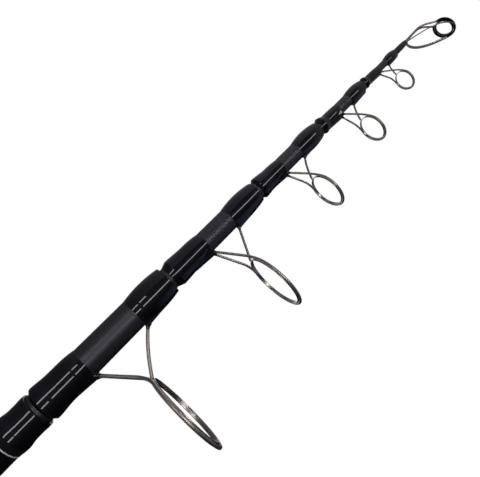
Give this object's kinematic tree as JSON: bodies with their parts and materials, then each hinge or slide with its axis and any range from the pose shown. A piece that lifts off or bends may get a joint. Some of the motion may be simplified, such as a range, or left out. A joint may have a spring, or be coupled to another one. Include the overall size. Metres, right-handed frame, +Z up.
{
  "type": "telescopic fishing rod",
  "caption": "Telescopic carp rod, collapsed: nested tapered tubes that draw out of a butt with a screw reel seat, each carrying a wire line guide, to a tip-top.",
  "frame": {"origin": "centre of the butt cap's end face, on the rod's axis", "axes": "+X along the rod from the butt to the tip, -Z towards the guides and the reel, +Z up with the guides hanging below the rod"},
  "size_m": [0.7562, 0.0538, 0.103],
  "materials": {
    "carbon": "matt woven carbon",
    "lacquer": "thread under clear resin, high gloss",
    "wire": "dark polished steel wire",
    "ceramic": "polished ceramic",
    "alloy": "anodised",
    "foam": "closed-cell foam, fine grain",
    "rubber": "moulded rubber, matt",
    "seat": "moulded, satin"
  },
  "bodies": {
    "butt": {"butt_blank": "carbon", "butt_collar_whipping": "lacquer", "butt_trim_band": "alloy", "butt_ferrule": "alloy", "rear_grip": "foam", "rear_grip_check": "alloy", "reel_seat_body": "seat", "reel_seat_arbors": "foam", "fore_grip": "foam", "fore_grip_check": "alloy"},
    "sliding_hood": {"sliding_hood": "seat"},
    "lock_nut": {"lock_nut": "alloy"},
    "cap_seal": {"cap_cushion": "rubber", "cap_seal_ring": "rubber"},
    "butt_cap": {"cap_plug": "alloy", "cap_rubber": "rubber"},
    "section_2": {"section_2_blank": "carbon", "section_2_rear_whipping": "lacquer", "section_2_front_whipping": "lacquer", "guide_1_frame": "wire", "guide_1_front_leg": "wire", "guide_1_ring": "wire"},
    "section_3": {"section_3_blank": "carbon", "section_3_rear_whipping": "lacquer", "section_3_front_whipping": "lacquer", "guide_2_frame": "wire", "guide_2_front_leg": "wire", "guide_2_ring": "wire"},
    "section_4": {"section_4_blank": "carbon", "section_4_rear_whipping": "lacquer", "section_4_front_whipping": "lacquer", "guide_3_frame": "wire", "guide_3_front_leg": "wire", "guide_3_ring": "wire"},
    "section_5": {"section_5_blank": "carbon", "section_5_rear_whipping": "lacquer", "section_5_front_whipping": "lacquer", "guide_4_frame": "wire", "guide_4_front_leg": "wire", "guide_4_ring": "wire"},
    "section_6": {"section_6_blank": "carbon", "section_6_rear_whipping": "lacquer", "section_6_front_whipping": "lacquer", "guide_5_frame": "wire", "guide_5_front_leg": "wire", "guide_5_ring": "wire"},
    "tip": {"tip_blank": "carbon", "tip_whipping": "lacquer", "tip_frame": "wire", "tip_ring": "ceramic"}
  },
  "joints": [
    {"name": "section_2_slide", "type": "slide", "parent": "butt", "child": "section_2", "axis": [1, 0, 0], "range_m": [0, 0.2847]},
    {"name": "section_3_slide", "type": "slide", "parent": "section_2", "child": "section_3", "axis": [1, 0, 0], "range_m": [0, 0.3817]},
    {"name": "section_4_slide", "type": "slide", "parent": "section_3", "child": "section_4", "axis": [1, 0, 0], "range_m": [0, 0.4627]},
    {"name": "section_5_slide", "type": "slide", "parent": "section_4", "child": "section_5", "axis": [1, 0, 0], "range_m": [0, 0.5297]},
    {"name": "section_6_slide", "type": "slide", "parent": "section_5", "child": "section_6", "axis": [1, 0, 0], "range_m": [0, 0.5837]},
    {"name": "tip_slide", "type": "slide", "parent": "section_6", "child": "tip", "axis": [1, 0, 0], "range_m": [0, 0.6287]},
    {"name": "hood_slide", "type": "slide", "parent": "butt", "child": "sliding_hood", "axis": [1, 0, 0], "range_m": [0, 0.0161]},
    {"name": "nut_turn", "type": "hinge", "parent": "sliding_hood", "child": "lock_nut", "pos_m": [0.1539, 0, 0], "axis": [1, 0, 0], "range_deg": [0, 2880]},
    {"name": "cap_slide", "type": "slide", "parent": "butt", "child": "cap_seal", "axis": [-1, 0, 0], "range_m": [0, 0.0111]},
    {"name": "cap_turn", "type": "hinge", "parent": "cap_seal", "child": "butt_cap", "pos_m": [0.011, 0, 0], "axis": [-1, 0, 0], "range_deg": [0, 1980]}
  ],
  "couplings": [
    {"joint": "hood_slide", "follows": "nut_turn", "m_per_rad": 0.00031831},
    {"joint": "cap_slide", "follows": "cap_turn", "m_per_rad": 0.00031831}
  ]
}
